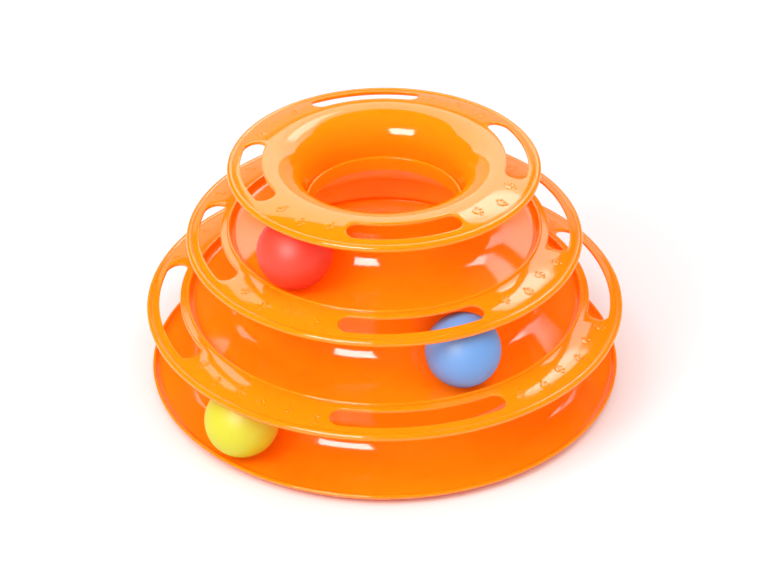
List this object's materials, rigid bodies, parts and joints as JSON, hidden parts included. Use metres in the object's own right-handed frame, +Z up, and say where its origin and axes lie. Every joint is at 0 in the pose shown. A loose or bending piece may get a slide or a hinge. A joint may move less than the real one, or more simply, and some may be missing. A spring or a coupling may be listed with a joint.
{
  "type": "cat ball track toy",
  "caption": "Round tiered tower of ring-shaped tracks with slotted domed roofs, an open funnel in the middle and a captive ball rolling round each track.",
  "frame": {"origin": "centre of the tower on the ground plane under the anti-slip pads", "axes": "+Z up along the tower's axis, -Y towards the viewer of the picture, +X to the viewer's right"},
  "size_m": [0.25, 0.25, 0.1268],
  "materials": {
    "orange_plastic": "glossy moulded",
    "yellow_ball": "satin",
    "blue_ball": "satin",
    "red_ball": "satin",
    "pad_rubber": "matt foam rubber"
  },
  "bodies": {
    "base": {"base_tray": "orange_plastic", "anti_slip_pad_1": "pad_rubber", "anti_slip_pad_2": "pad_rubber", "anti_slip_pad_3": "pad_rubber", "anti_slip_pad_4": "pad_rubber"},
    "second_tier": {"second_tier": "orange_plastic"},
    "third_tier": {"third_tier": "orange_plastic"},
    "top_ring": {"top_ring": "orange_plastic"},
    "yellow_ball": {"yellow_ball": "yellow_ball"},
    "blue_ball": {"blue_ball": "blue_ball"},
    "red_ball": {"red_ball": "red_ball"}
  },
  "joints": [
    {"name": "second_tier_lift", "type": "slide", "parent": "base", "child": "second_tier", "axis": [0, 0, 1], "range_m": [0, 0.06]},
    {"name": "third_tier_lift", "type": "slide", "parent": "second_tier", "child": "third_tier", "axis": [0, 0, 1], "range_m": [0, 0.06]},
    {"name": "top_ring_lift", "type": "slide", "parent": "third_tier", "child": "top_ring", "axis": [0, 0, 1], "range_m": [0, 0.06]},
    {"name": "yellow_ball_roll", "type": "hinge", "parent": "base", "child": "yellow_ball", "pos_m": [0, 0, 0.0226], "axis": [0, 0, 1], "continuous": true},
    {"name": "blue_ball_roll", "type": "hinge", "parent": "second_tier", "child": "blue_ball", "pos_m": [0, 0, 0.0626], "axis": [0, 0, 1], "continuous": true},
    {"name": "red_ball_roll", "type": "hinge", "parent": "third_tier", "child": "red_ball", "pos_m": [0, 0, 0.1026], "axis": [0, 0, 1], "continuous": true}
  ]
}
